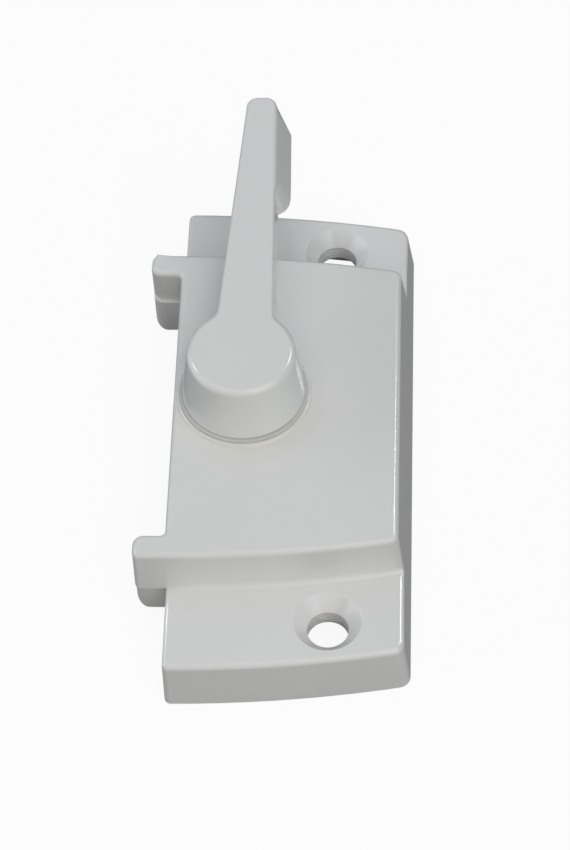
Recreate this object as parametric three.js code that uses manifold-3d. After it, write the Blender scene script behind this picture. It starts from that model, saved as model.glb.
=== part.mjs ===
// Window sweep lock: a hollow die-cast case with two screw ears and two lugs, a lever that turns on top
// of it and a cam that the lever sweeps out between the lugs. Drawn unlocked, with the lever along the case.
// Millimetres. Z is up from the mounting face, Y runs along the case, and X across it, away from the lugs.

import * as THREE from 'three';
import { mergeVertices } from 'three/addons/utils/BufferGeometryUtils.js';
import Module from 'manifold-3d';

const wasm = await Module();
wasm.setup();

// Case, measured at its mounting face
const CASE_LENGTH = 72.3;
const CASE_WIDTH = 29.4;
const EAR_HEIGHT = 6.6;
const PLATFORM_HEIGHT = 12.5;
const PLATFORM_LENGTH = 46.8;
const WALL = 2.0;
const ROOF = 2.2;
const CASE_DRAFT_DEG = 7;
const STEP_DRAFT_DEG = 4;
const END_RADIUS = 158;
const EAR_CORNER = 1.5;
const PLATFORM_CORNER = 1.2;
const NEAR_CORNER = 0.8;
const CASE_EDGE = 0.6;
const STEP_FILLET = 0.6;

// Screw ears
const SCREW_SPACING = 57.15;
const SCREW_OFFSET = 19.5;
const SCREW_HOLE = 5.0;
const COUNTERSINK = 8.4;
const COUNTERSINK_DEG = 82;
const SCREW_BOSS = 11.0;
const SCREW_BOSS_DEPTH = 3.9;

// Lugs on the case's near side
const LUG_REACH = 3.85;
const LUG_LENGTH = 3.3;
const LUG_ROUND = 1.3;
const LUG_ROOT = 0.7;
const LUG_FOOT = 1.1;
const LUG_FOOT_ROUND = 1.5;
const LUG_FILLET = 0.5;
const LUG_LEDGE_DROP = 0.3;
const LUG_SHIFT = 0.6;

// Pivot
const PIVOT_X = 8.7;
const PIVOT_Y = 1.0;
const COLLAR = 17.2;
const COLLAR_HEIGHT = 0.4;
const BEARING_LENGTH = 4.0;
const BEARING_WALL = 1.7;
const SPINDLE = 7.9;
const SPINDLE_SQUARE = 5.5;
const BUSH_WALL = 1.0;
const BUSH_FLANGE = 15.9;
const BUSH_FLANGE_THICKNESS = 0.3;

// Lever
const LEVER_LENGTH = 41.7;
const LEVER_TOP = 21.1;
const HUB_TOP = 13.2;
const HUB_DRAFT_DEG = 7.5;
const HANDLE_THICKNESS = 4.9;
const HANDLE_DRAFT_DEG = 3;
const HANDLE_ROOT = 8;
const HANDLE_ROOT_FAR = 3.66;
const HANDLE_ROOT_NEAR = 3.0;
const HANDLE_TIP_FAR = 2.97;
const HANDLE_TIP_NEAR = 0.68;
const HANDLE_FLARE = 2.2;
const TIP_ROUND = 1.4;
const LEVER_EDGE = 0.5;
const PAD_LENGTH = 13.2;
const PAD_FLARE = 1.7;
const PAD_ROUND = 2.6;
const PAD_FADE = 2.5;

// Cam and what holds it on the spindle
const ARM_THICKNESS = 2.2;
const ARM_CLEARANCE = 0.9;
const ARM_PULL = 1.8;
const FINGER_WIDTH = 4.2;
const FINGER_DEG = 46;
const WEB_DEG = 8;
const WEB_SPAN_DEG = 27.6;
const CAM_DISC = 11.8;
const CAM_FLATS = 9.0;
const CAM_ROUND = 10.8;
const TURN_DEG = 180;
const STOP_DEG = 13.5;
const STOP_GAP_DEG = 2.5;
const STOP_CLEARANCE = 0.3;
const STOP_REACH = 3.2;
const TAIL_DEG = 25;
const TAIL_REACH = 1.2;
const WAVE_HEIGHT = 0.7;
const WAVE_THICKNESS = 0.35;
const WAVE_COUNT = 3;
const WASHER = 10.4;
const WASHER_THICKNESS = 0.7;
const SCREW_HEAD = 6.6;
const SCREW_HEAD_HEIGHT = 1.6;
const SCREW_HEAD_RECESS = 0.4;
const SCREW_SHANK = 3.3;
const SCREW_LENGTH = 7.0;
const DRIVE_WIDTH = 0.9;
const DRIVE_SPAN = 3.6;
const DRIVE_DEPTH = 0.9;

// Detent spring
const SPRING_LENGTH = 21;
const SPRING_THICKNESS = 0.5;
const SPRING_BOW = 0.7;
const SPRING_POST = 2.6;

// Clearances
const RUNNING_GAP = 0.15;
const SEAT_GAP = 0.08;
const SPRING_GAP = 0.25;
const CUT_MARGIN = 1;

// Facets
const CORNER_STEPS = 4;
const END_STEPS = 8;
const EDGE_STEPS = 3;
const ROUND_STEPS = 48;
const MERGE_TOLERANCE = 1e-5;
const LEAST_ROUND = 0.4;

const radians = THREE.MathUtils.degToRad;

// Levels, worked out from the top of the case down and from the screw head up
const collarTop = PLATFORM_HEIGHT + COLLAR_HEIGHT;
const flangeBottom = collarTop + SEAT_GAP;
const hubBottom = flangeBottom + BUSH_FLANGE_THICKNESS + SEAT_GAP;
const bearingBottom = collarTop - BEARING_LENGTH;
const washerBottom = SCREW_HEAD_RECESS + SCREW_HEAD_HEIGHT + SEAT_GAP;
const camBottom = washerBottom + WASHER_THICKNESS + SEAT_GAP;
const armTop = camBottom + ARM_THICKNESS;
const waveBottom = bearingBottom - SEAT_GAP - WAVE_HEIGHT;
const camTop = waveBottom - SEAT_GAP;
const earRoof = EAR_HEIGHT - ROOF;
const platformRoof = PLATFORM_HEIGHT - ROOF;
const lugLedge = EAR_HEIGHT - LUG_LEDGE_DROP;

// Radii round the pivot
const spindleRadius = SPINDLE / 2;
const bushInside = spindleRadius + RUNNING_GAP;
const bushOutside = bushInside + BUSH_WALL;
const bearingBore = bushOutside + RUNNING_GAP;
const bearingBoss = bearingBore + BEARING_WALL;
const discRadius = CAM_DISC / 2;
const caseSlope = Math.tan(radians(CASE_DRAFT_DEG));
const armReach = CASE_WIDTH - caseSlope * armTop - WALL - ARM_CLEARANCE - PIVOT_X;

// Solids

// A closed solid from a three.js geometry, its shared vertices merged and its flat slivers dropped
function solid(geometry) {
  const bare = geometry.clone();
  bare.deleteAttribute('normal');
  bare.deleteAttribute('uv');
  const merged = mergeVertices(bare, MERGE_TOLERANCE);
  const index = merged.index.array;
  const triVerts = [];
  for (let i = 0; i < index.length; i += 3) {
    const [a, b, c] = index.slice(i, i + 3);
    if (a !== b && b !== c && c !== a) triVerts.push(a, b, c);
  }
  return new wasm.Manifold(new wasm.Mesh({
    numProp: 3,
    vertProperties: new Float32Array(merged.attributes.position.array),
    triVerts: new Uint32Array(triVerts),
  }));
}

// A geometry with the solid's own vertices and triangles
function geometryOf(body) {
  const mesh = body.getMesh();
  const geometry = new THREE.BufferGeometry();
  geometry.setAttribute('position', new THREE.BufferAttribute(new Float32Array(mesh.vertProperties), 3));
  geometry.setIndex(new THREE.BufferAttribute(new Uint32Array(mesh.triVerts), 1));
  geometry.computeVertexNormals();
  return geometry;
}

// A closed skin over rings of points, each ring counter-clockwise and at its own level
function loft(rings) {
  const count = rings[0].points.length;
  const positions = rings.flatMap(({ points, z }) => points.flatMap((p) => [p.x, p.y, z]));
  const index = [];
  for (let ring = 0; ring < rings.length - 1; ring += 1) {
    for (let i = 0; i < count; i += 1) {
      const next = (i + 1) % count;
      const [a, b] = [ring * count + i, ring * count + next];
      const [c, d] = [a + count, b + count];
      index.push(a, b, d, a, d, c);
    }
  }
  const last = (rings.length - 1) * count;
  for (const [a, b, c] of THREE.ShapeUtils.triangulateShape(rings[0].points, [])) index.push(c, b, a);
  for (const [a, b, c] of THREE.ShapeUtils.triangulateShape(rings.at(-1).points, [])) {
    index.push(last + a, last + b, last + c);
  }
  const geometry = new THREE.BufferGeometry();
  geometry.setAttribute('position', new THREE.Float32BufferAttribute(positions, 3));
  geometry.setIndex(index);
  return solid(geometry);
}

// A solid turned about a vertical axis, from its radius and level pairs in order from bottom to top
function turned(profile, x = 0, y = 0) {
  const points = profile.map(([radius, z]) => new THREE.Vector2(radius, z));
  const geometry = new THREE.LatheGeometry(points, ROUND_STEPS);
  return solid(geometry.rotateX(Math.PI / 2).translate(x, y, 0));
}

function cylinder(radius, bottom, top, x, y) {
  return turned([[0, bottom], [radius, bottom], [radius, top], [0, top]], x, y);
}

// A flat ring with a square section, closed on itself
const ringProfile = (inside, outside, bottom, top) => (
  [[inside, bottom], [outside, bottom], [outside, top], [inside, top], [inside, bottom]]
);

// A plan extruded upwards from one level to another
function plate(shape, bottom, top, curveSegments = CORNER_STEPS) {
  const options = { depth: top - bottom, bevelEnabled: false, curveSegments };
  return solid(new THREE.ExtrudeGeometry(shape, options).translate(0, 0, bottom));
}

// An upright block between two corners
function block([x0, y0, z0], [x1, y1, z1]) {
  const geometry = new THREE.BoxGeometry(x1 - x0, y1 - y0, z1 - z0);
  return solid(geometry.translate((x0 + x1) / 2, (y0 + y1) / 2, (z0 + z1) / 2));
}

// Points of an arc from one angle to another, both ends included
function arc(cx, cy, radius, from, to, steps = CORNER_STEPS) {
  return Array.from({ length: steps + 1 }, (_, i) => {
    const angle = from + (to - from) * (i / steps);
    return new THREE.Vector2(cx + radius * Math.cos(angle), cy + radius * Math.sin(angle));
  });
}

// Levels and insets of a rounded upper edge
function roundedEdge(top, radius) {
  return Array.from({ length: EDGE_STEPS + 1 }, (_, i) => {
    const angle = (Math.PI / 2) * (i / EDGE_STEPS);
    return { z: top - radius * (1 - Math.sin(angle)), inset: radius * (1 - Math.cos(angle)) };
  });
}

// Case

const caseRight = (z) => CASE_WIDTH - caseSlope * z;
const earHalf = (z) => CASE_LENGTH / 2 - caseSlope * z;
const stepSlope = Math.tan(radians(STEP_DRAFT_DEG));
const platformHalf = (z) => PLATFORM_LENGTH / 2 + stepSlope * (PLATFORM_HEIGHT - z);

// The lug at one end of the plan, from the end's arc round to the case's near side
function lugPlan(half, inset) {
  const round = LUG_ROUND - inset;
  const tipX = inset + round - LUG_REACH;
  const innerY = half - LUG_LENGTH;
  return [
    ...arc(tipX, half - inset - round, round, Math.PI / 2, Math.PI),
    ...arc(tipX, innerY + inset + round, round, Math.PI, 1.5 * Math.PI),
    ...arc(-LUG_ROOT, innerY - LUG_ROOT, LUG_ROOT + inset, Math.PI / 2, 0),
  ];
}

// Plan of the case at one level: bowed ends, round far corners, and near corners or lugs
function casePlan({ half, right, corner = EAR_CORNER, inset = 0, lugs = false }) {
  const endRadius = END_RADIUS - inset;
  const endY = half - END_RADIUS;
  const centreOnEnd = (x, round) => endY + Math.sqrt((endRadius - round) ** 2 - x ** 2);
  const far = Math.max(corner - inset, LEAST_ROUND);
  const farX = right - inset - far;
  const farY = centreOnEnd(farX, far);
  const farAngle = Math.atan2(farY - endY, farX);
  const near = Math.max(NEAR_CORNER - inset, LEAST_ROUND);
  const nearX = inset + near;
  const nearY = centreOnEnd(nearX, near);
  const nearAngle = lugs ? Math.PI / 2 : Math.atan2(nearY - endY, nearX);
  const upper = [
    ...arc(farX, farY, far, 0, farAngle),
    ...arc(0, endY, endRadius, farAngle, nearAngle, END_STEPS).slice(1),
    ...(lugs ? lugPlan(half, inset) : arc(nearX, nearY, near, nearAngle, Math.PI).slice(1)),
  ];
  const lower = upper.map((p) => new THREE.Vector2(p.x, -p.y)).reverse();
  return [...upper, ...lower];
}

function caseRing(half, z, options = {}) {
  return { points: casePlan({ half, right: caseRight(z), ...options }), z };
}

// The low slab that carries both ears
function earSlab() {
  const edge = roundedEdge(EAR_HEIGHT, CASE_EDGE);
  return loft([caseRing(earHalf(0), 0), ...edge.map(({ z, inset }) => caseRing(earHalf(z), z, { inset }))]);
}

// The platform with the lugs' heads
function platform() {
  const edge = roundedEdge(PLATFORM_HEIGHT, CASE_EDGE);
  const options = { corner: PLATFORM_CORNER, lugs: true };
  return loft([
    caseRing(platformHalf(lugLedge), lugLedge, options),
    ...edge.map(({ z, inset }) => caseRing(platformHalf(z), z, { ...options, inset })),
  ]);
}

// The platform's root, which swells into the fillet at the foot of each step
function platformRoot() {
  const foot = platformHalf(EAR_HEIGHT);
  const options = { corner: PLATFORM_CORNER };
  const fillet = Array.from({ length: EDGE_STEPS + 1 }, (_, i) => {
    const angle = (Math.PI / 2) * (i / EDGE_STEPS);
    const z = EAR_HEIGHT + STEP_FILLET * (1 - Math.cos(angle));
    return caseRing(foot + STEP_FILLET * (1 - Math.sin(angle)), z, options);
  });
  return loft([
    caseRing(foot, CUT_MARGIN, options),
    caseRing(foot + STEP_FILLET, lugLedge, options),
    ...fillet,
  ]);
}

// The narrow lower part of a lug, set towards the case's middle, with fillets at the near wall
// and rounded off at its outer corner
function lugFoot(side) {
  const outer = platformHalf(lugLedge) - LUG_SHIFT;
  const inner = outer - LUG_LENGTH;
  const corner = arc(LUG_REACH - LUG_FOOT_ROUND, LUG_FOOT + LUG_FOOT_ROUND, LUG_FOOT_ROUND, -Math.PI / 2, 0);
  const levels = corner.map((p) => ({ reach: p.x, z: p.y }));
  levels.push({ z: lugLedge + CUT_MARGIN / 2, reach: LUG_REACH });
  return loft(levels.map(({ z, reach }) => {
    const upper = [
      new THREE.Vector2(WALL / 2, outer + LUG_FILLET),
      ...arc(-LUG_FILLET, outer + LUG_FILLET, LUG_FILLET, 0, -Math.PI / 2),
      ...arc(LUG_ROUND - reach, outer - LUG_ROUND, LUG_ROUND, Math.PI / 2, Math.PI),
      ...arc(LUG_ROUND - reach, inner + LUG_ROUND, LUG_ROUND, Math.PI, 1.5 * Math.PI),
      ...arc(-LUG_FILLET, inner - LUG_FILLET, LUG_FILLET, Math.PI / 2, 0),
      new THREE.Vector2(WALL / 2, inner - LUG_FILLET),
    ];
    const points = side > 0 ? upper : upper.map((p) => new THREE.Vector2(p.x, -p.y)).reverse();
    return { points, z };
  }));
}

// The hollow under the case
function hollow() {
  const room = (half, roof) => loft([
    caseRing(half(0), -CUT_MARGIN, { inset: WALL }),
    caseRing(half(roof), roof, { inset: WALL }),
  ]);
  return room(earHalf, earRoof).add(room(platformHalf, platformRoof));
}

// A low rounded ring that the lever's hub turns on
function collar() {
  const radius = COLLAR / 2;
  const edge = roundedEdge(collarTop, COLLAR_HEIGHT);
  const bottom = PLATFORM_HEIGHT - ROOF / 2;
  const rounded = edge.map(({ z, inset }) => [radius - inset, z]);
  return turned([[0, bottom], [radius, bottom], ...rounded, [0, collarTop]], PIVOT_X, PIVOT_Y);
}

const screwPlaces = [-1, 1].map((side) => side * SCREW_SPACING / 2);

function screwBoss(y) {
  return cylinder(SCREW_BOSS / 2, EAR_HEIGHT - SCREW_BOSS_DEPTH, EAR_HEIGHT - ROOF / 2, SCREW_OFFSET, y);
}

function screwHole(y) {
  const hole = SCREW_HOLE / 2;
  const mouth = COUNTERSINK / 2;
  const seat = EAR_HEIGHT - (mouth - hole) / Math.tan(radians(COUNTERSINK_DEG / 2));
  const top = EAR_HEIGHT + CUT_MARGIN;
  return turned([
    [0, -CUT_MARGIN],
    [hole, -CUT_MARGIN],
    [hole, seat],
    [mouth, EAR_HEIGHT],
    [mouth, top],
    [0, top],
  ], SCREW_OFFSET, y);
}

// A sector of a ring round the pivot
function sector(inside, outside, from, to) {
  const shape = new THREE.Shape();
  shape.absarc(PIVOT_X, PIVOT_Y, outside, from, to, false);
  shape.absarc(PIVOT_X, PIVOT_Y, inside, to, from, true);
  return shape;
}

const stopFrom = radians(WEB_DEG + STOP_GAP_DEG);
const stopTo = stopFrom + radians(STOP_DEG);
const springX = PIVOT_X + CAM_FLATS / 2 + SPRING_GAP;
const springBottom = armTop + SPRING_GAP;
const springTop = camTop - SPRING_GAP;
const springEnds = [-1, 1].map((side) => PIVOT_Y + side * (SPRING_LENGTH / 2 - SPRING_POST / 2));

// The cast stop between the cam's web and its tail
function stopPost() {
  const inside = discRadius + STOP_CLEARANCE;
  return plate(sector(inside, inside + STOP_REACH, stopFrom, stopTo), camBottom, platformRoof + ROOF / 2);
}

// A cast post at each end of the detent spring
function springPost(y) {
  const x = springX + SPRING_BOW + SPRING_THICKNESS / 2;
  const half = SPRING_POST / 2;
  return block([x - half, y - half, springBottom], [x + half, y + half, platformRoof + ROOF / 2]);
}

// The slot in both posts, a little wider than the spring
function springSlot() {
  const plan = springPlan(SPRING_GAP, SPRING_LENGTH + SPRING_POST);
  return plate(plan, springBottom - CUT_MARGIN, springTop + SPRING_GAP);
}

// The notch in the near wall that the cam's finger sweeps through
function camNotch() {
  const half = Math.sqrt(armReach ** 2 - (PIVOT_X - WALL) ** 2) + ARM_CLEARANCE;
  return block(
    [-CUT_MARGIN, PIVOT_Y - half, -CUT_MARGIN],
    [WALL + CUT_MARGIN, PIVOT_Y + half, armTop + ARM_CLEARANCE],
  );
}

function lockBody() {
  let body = earSlab().add(platform()).add(platformRoot()).add(collar());
  body = body.add(lugFoot(1)).add(lugFoot(-1)).subtract(hollow());
  body = body.add(cylinder(bearingBoss, bearingBottom, PLATFORM_HEIGHT - ROOF / 2, PIVOT_X, PIVOT_Y));
  body = body.add(stopPost());
  for (const y of springEnds) body = body.add(springPost(y));
  for (const y of screwPlaces) body = body.add(screwBoss(y)).subtract(screwHole(y));
  body = body.subtract(cylinder(bearingBore, -CUT_MARGIN, collarTop + CUT_MARGIN, PIVOT_X, PIVOT_Y));
  return body.subtract(springSlot()).subtract(camNotch());
}

// Lever

const hubSlope = Math.tan(radians(HUB_DRAFT_DEG));
const handleSlope = Math.tan(radians(HANDLE_DRAFT_DEG));

// One straight side of the handle, with the flare that joins it to the hub and the round at the tip
function handleSide(side, root, tip) {
  const start = new THREE.Vector2(side * root, HANDLE_ROOT);
  const along = new THREE.Vector2(side * tip, LEVER_LENGTH).sub(start).normalize();
  const outward = new THREE.Vector2(side * along.y, -side * along.x);
  const raised = start.clone().addScaledVector(outward, HANDLE_FLARE);
  const reach = HUB_TOP / 2 + HANDLE_FLARE;
  const back = raised.dot(along);
  const toFlare = Math.sqrt(back ** 2 - raised.lengthSq() + reach ** 2) - back;
  const flare = raised.clone().addScaledVector(along, toFlare);
  const sunk = start.clone().addScaledVector(outward, -TIP_ROUND);
  const toTip = (LEVER_LENGTH - TIP_ROUND - sunk.y) / along.y;
  return { start, along, outward, flare, tip: sunk.addScaledVector(along, toTip) };
}

const farSide = handleSide(1, HANDLE_ROOT_FAR, HANDLE_TIP_FAR);
const nearSide = handleSide(-1, HANDLE_ROOT_NEAR, HANDLE_TIP_NEAR);
const padEnd = LEVER_LENGTH - TIP_ROUND - PAD_FADE / 2;
const padStart = padEnd - PAD_LENGTH;

// How far the finger pad stands out at a distance along the lever, as a share of its flare:
// a quarter ellipse at its end by the hub, and a soft fade at the tip
function padShare(along) {
  const short = THREE.MathUtils.clamp(1 - (along - padStart) / PAD_ROUND, 0, 1);
  return Math.sqrt(1 - short ** 2) * (1 - THREE.MathUtils.smoothstep(along, padEnd, padEnd + PAD_FADE));
}

// Points of the concave flare between the hub and one side of the handle
function flarePoints({ flare, outward }, inset) {
  const toHub = flare.clone().negate().angle();
  const toSide = outward.clone().negate().angle();
  const turn = THREE.MathUtils.euclideanModulo(toSide - toHub + Math.PI, 2 * Math.PI) - Math.PI;
  return arc(flare.x, flare.y, HANDLE_FLARE + inset, toHub, toHub + turn);
}

// Plan of the handle at one level, from the hub's far side round the tip to its near side
function handlePlan(inset, padFlare) {
  const farAngle = farSide.outward.angle();
  const nearAngle = nearSide.outward.angle();
  const tipRound = TIP_ROUND - inset;
  const padPlaces = arc(padStart + PAD_ROUND, 0, PAD_ROUND, Math.PI, Math.PI / 2).map((p) => p.x);
  const farEdge = [...padPlaces, padEnd].map((place) => {
    const distance = (place - farSide.start.y) / farSide.along.y;
    const point = farSide.start.clone().addScaledVector(farSide.along, distance);
    return point.addScaledVector(farSide.outward, -inset);
  });
  const farTip = arc(farSide.tip.x, farSide.tip.y, tipRound, farAngle, Math.PI / 2);
  const padded = [...farEdge, ...farTip];
  padded.forEach((p) => p.addScaledVector(farSide.outward, padFlare * padShare(p.y)));
  return [
    ...flarePoints(farSide, inset),
    ...padded,
    ...arc(nearSide.tip.x, nearSide.tip.y, tipRound, Math.PI / 2, nearAngle),
    ...flarePoints(nearSide, inset).reverse(),
  ];
}

function handle() {
  const bottom = LEVER_TOP - HANDLE_THICKNESS;
  const levels = [
    { z: bottom, inset: LEVER_EDGE },
    { z: bottom + LEVER_EDGE, inset: 0 },
    ...roundedEdge(LEVER_TOP, LEVER_EDGE),
  ];
  return loft(levels.map(({ z, inset }) => {
    const below = LEVER_TOP - z;
    const points = handlePlan(inset - handleSlope * below, PAD_FLARE * (below / HANDLE_THICKNESS));
    points.forEach((p) => p.add(new THREE.Vector2(PIVOT_X, PIVOT_Y)));
    return { points, z };
  }));
}

// The tapered hub and the round part of the spindle
function hubAndSpindle() {
  const topRadius = HUB_TOP / 2;
  const edge = roundedEdge(LEVER_TOP, LEVER_EDGE);
  const hubRadius = (z) => topRadius + hubSlope * (LEVER_TOP - z);
  const rounded = edge.map(({ z, inset }) => [hubRadius(z) - inset, z]);
  return turned([
    [0, bearingBottom],
    [spindleRadius, bearingBottom],
    [spindleRadius, hubBottom],
    [hubRadius(hubBottom), hubBottom],
    ...rounded,
    [0, LEVER_TOP],
  ], PIVOT_X, PIVOT_Y);
}

function lever() {
  const half = SPINDLE_SQUARE / 2;
  const squareEnd = block(
    [PIVOT_X - half, PIVOT_Y - half, camBottom],
    [PIVOT_X + half, PIVOT_Y + half, bearingBottom + CUT_MARGIN],
  );
  const tapped = SCREW_SHANK / 2 + RUNNING_GAP;
  const screwEnd = washerBottom - SEAT_GAP + SCREW_LENGTH;
  const screwBore = cylinder(tapped, camBottom - CUT_MARGIN, screwEnd + SPRING_GAP, PIVOT_X, PIVOT_Y);
  return hubAndSpindle().add(handle()).add(squareEnd).subtract(screwBore);
}

// Bush between the spindle and the case, with a thin flange under the hub

function pivotBush() {
  const flange = BUSH_FLANGE / 2;
  const flangeTop = flangeBottom + BUSH_FLANGE_THICKNESS;
  return turned([
    [bushInside, bearingBottom],
    [bushOutside, bearingBottom],
    [bushOutside, flangeBottom],
    [flange, flangeBottom],
    [flange, flangeTop],
    [bushInside, flangeTop],
    [bushInside, bearingBottom],
  ], PIVOT_X, PIVOT_Y);
}

// Cam: a hooked finger on a web, a tail that meets the stop, and a hub with two flats for the detent spring

function camArm() {
  const web = radians(WEB_DEG);
  const tipAngle = -radians(FINGER_DEG);
  const tipInside = armReach - FINGER_WIDTH;
  const rootInside = tipInside - ARM_PULL;
  const rootAngle = web - radians(WEB_SPAN_DEG);
  const tailFrom = stopTo + radians(STOP_GAP_DEG) + radians(TURN_DEG);
  const tailTo = tailFrom + radians(TAIL_DEG);
  const polar = (radius, angle) => new THREE.Vector2(
    PIVOT_X + radius * Math.cos(angle),
    PIVOT_Y + radius * Math.sin(angle),
  );
  const tipCentre = polar(armReach - FINGER_WIDTH / 2, tipAngle);
  const throat = Array.from({ length: END_STEPS + 1 }, (_, i) => {
    const share = i / END_STEPS;
    return polar(rootInside + ARM_PULL * share, rootAngle + (tipAngle - rootAngle) * share);
  });
  const shape = new THREE.Shape();
  shape.absarc(PIVOT_X, PIVOT_Y, armReach, tipAngle, web, false);
  shape.absarc(PIVOT_X, PIVOT_Y, discRadius, web, tailFrom, false);
  shape.absarc(PIVOT_X, PIVOT_Y, discRadius + TAIL_REACH, tailFrom, tailTo, false);
  shape.absarc(PIVOT_X, PIVOT_Y, discRadius, tailTo, 2 * Math.PI + rootAngle, false);
  throat.forEach((p) => shape.lineTo(p.x, p.y));
  const [tipFrom, tipTo] = [tipAngle + Math.PI, tipAngle + 2 * Math.PI];
  shape.absarc(tipCentre.x, tipCentre.y, FINGER_WIDTH / 2, tipFrom, tipTo, false);
  return plate(shape, camBottom, armTop, END_STEPS);
}

// A round with two flats, square to X
function flattedRound(radius, flat) {
  const angle = Math.acos(flat / radius);
  const shape = new THREE.Shape();
  shape.absarc(PIVOT_X, PIVOT_Y, radius, angle, Math.PI - angle, false);
  shape.absarc(PIVOT_X, PIVOT_Y, radius, Math.PI + angle, 2 * Math.PI - angle, false);
  return shape;
}

function sweepCam() {
  const hole = SPINDLE_SQUARE / 2 + RUNNING_GAP;
  const cut = block(
    [PIVOT_X - hole, PIVOT_Y - hole, camBottom - CUT_MARGIN],
    [PIVOT_X + hole, PIVOT_Y + hole, camTop + CUT_MARGIN],
  );
  const hubPlan = flattedRound(CAM_ROUND / 2, CAM_FLATS / 2);
  const hub = plate(hubPlan, armTop - ARM_THICKNESS / 2, camTop, END_STEPS);
  return camArm().add(hub).subtract(cut);
}

// Wave washer between the cam and the bearing

function waveWasher() {
  const inside = spindleRadius + RUNNING_GAP;
  const outside = CAM_ROUND / 2;
  const lift = (WAVE_HEIGHT - WAVE_THICKNESS) / 2;
  const points = ringProfile(inside, outside, waveBottom + lift, waveBottom + lift + WAVE_THICKNESS);
  const profile = points.map(([radius, z]) => new THREE.Vector2(radius, z));
  const geometry = new THREE.LatheGeometry(profile, ROUND_STEPS).rotateX(Math.PI / 2);
  const position = geometry.attributes.position;
  for (let i = 0; i < position.count; i += 1) {
    const angle = Math.atan2(position.getY(i), position.getX(i));
    position.setZ(i, position.getZ(i) + lift * Math.cos(WAVE_COUNT * angle));
  }
  return solid(geometry.translate(PIVOT_X, PIVOT_Y, 0));
}

// Plan of the bowed leaf, wider by a margin on both faces
function springPlan(margin, length) {
  const half = length / 2;
  const bowRadius = ((SPRING_LENGTH / 2) ** 2 + SPRING_BOW ** 2) / (2 * SPRING_BOW);
  const centreX = springX + bowRadius;
  const bow = (radius, turn) => {
    const angle = Math.asin(half / radius);
    return arc(centreX, PIVOT_Y, radius, Math.PI - turn * angle, Math.PI + turn * angle, END_STEPS);
  };
  const back = bowRadius - SPRING_THICKNESS;
  return new THREE.Shape([...bow(bowRadius + margin, 1), ...bow(back - margin, -1)]);
}

function detentSpring() {
  return plate(springPlan(0, SPRING_LENGTH), springBottom, springTop);
}

// Washer and screw under the cam

function retainingWasher() {
  const inside = SCREW_SHANK / 2 + RUNNING_GAP;
  const profile = ringProfile(inside, WASHER / 2, washerBottom, washerBottom + WASHER_THICKNESS);
  return turned(profile, PIVOT_X, PIVOT_Y);
}

function retainingScrew() {
  const headTop = SCREW_HEAD_RECESS + SCREW_HEAD_HEIGHT;
  const head = SCREW_HEAD / 2;
  const crown = SCREW_HEAD_HEIGHT / 2;
  const shank = SCREW_SHANK / 2;
  const end = headTop + SCREW_LENGTH;
  const screw = turned([
    [0, SCREW_HEAD_RECESS],
    [head - crown, SCREW_HEAD_RECESS],
    [head, SCREW_HEAD_RECESS + crown],
    [head, headTop],
    [shank, headTop],
    [shank, end],
    [0, end],
  ], PIVOT_X, PIVOT_Y);
  const slot = (halfX, halfY) => block(
    [PIVOT_X - halfX, PIVOT_Y - halfY, SCREW_HEAD_RECESS - CUT_MARGIN],
    [PIVOT_X + halfX, PIVOT_Y + halfY, SCREW_HEAD_RECESS + DRIVE_DEPTH],
  );
  const cross = slot(DRIVE_SPAN / 2, DRIVE_WIDTH / 2).add(slot(DRIVE_WIDTH / 2, DRIVE_SPAN / 2));
  return screw.subtract(cross);
}

// Assembly

const FINISH = {
  paint: { color: 0xd9dad8, roughness: 0.32, metalness: 0 },
  acetal: { color: 0xe6e2d0, roughness: 0.5, metalness: 0 },
  zincSteel: { color: 0xb9bcc0, roughness: 0.35, metalness: 1 },
  springSteel: { color: 0x8d9196, roughness: 0.3, metalness: 1 },
};

function piece(name, body, finish) {
  const mesh = new THREE.Mesh(geometryOf(body), new THREE.MeshStandardMaterial(finish));
  mesh.name = name;
  return mesh;
}

const lock = new THREE.Group();
lock.add(
  piece('lock_body', lockBody(), FINISH.paint),
  piece('lever', lever(), FINISH.paint),
  piece('pivot_bush', pivotBush(), FINISH.acetal),
  piece('sweep_cam', sweepCam(), FINISH.zincSteel),
  piece('wave_washer', waveWasher(), FINISH.springSteel),
  piece('detent_spring', detentSpring(), FINISH.springSteel),
  piece('retaining_washer', retainingWasher(), FINISH.zincSteel),
  piece('retaining_screw', retainingScrew(), FINISH.zincSteel),
);

// The origin is at the bottom centre of the whole lock with its lever along the case
const middleX = (CASE_WIDTH - LUG_REACH) / 2;
const leverReach = LEVER_LENGTH + handleSlope * (HANDLE_THICKNESS - LEVER_EDGE);
const middleY = (PIVOT_Y + leverReach - CASE_LENGTH / 2) / 2;
lock.position.set(-middleX, -middleY, 0);

const part = new THREE.Group();
part.add(lock);

export default part;
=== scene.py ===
"""Looks of a painted window sweep lock: two castings, the cam works under them and a plain studio."""

import math

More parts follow.
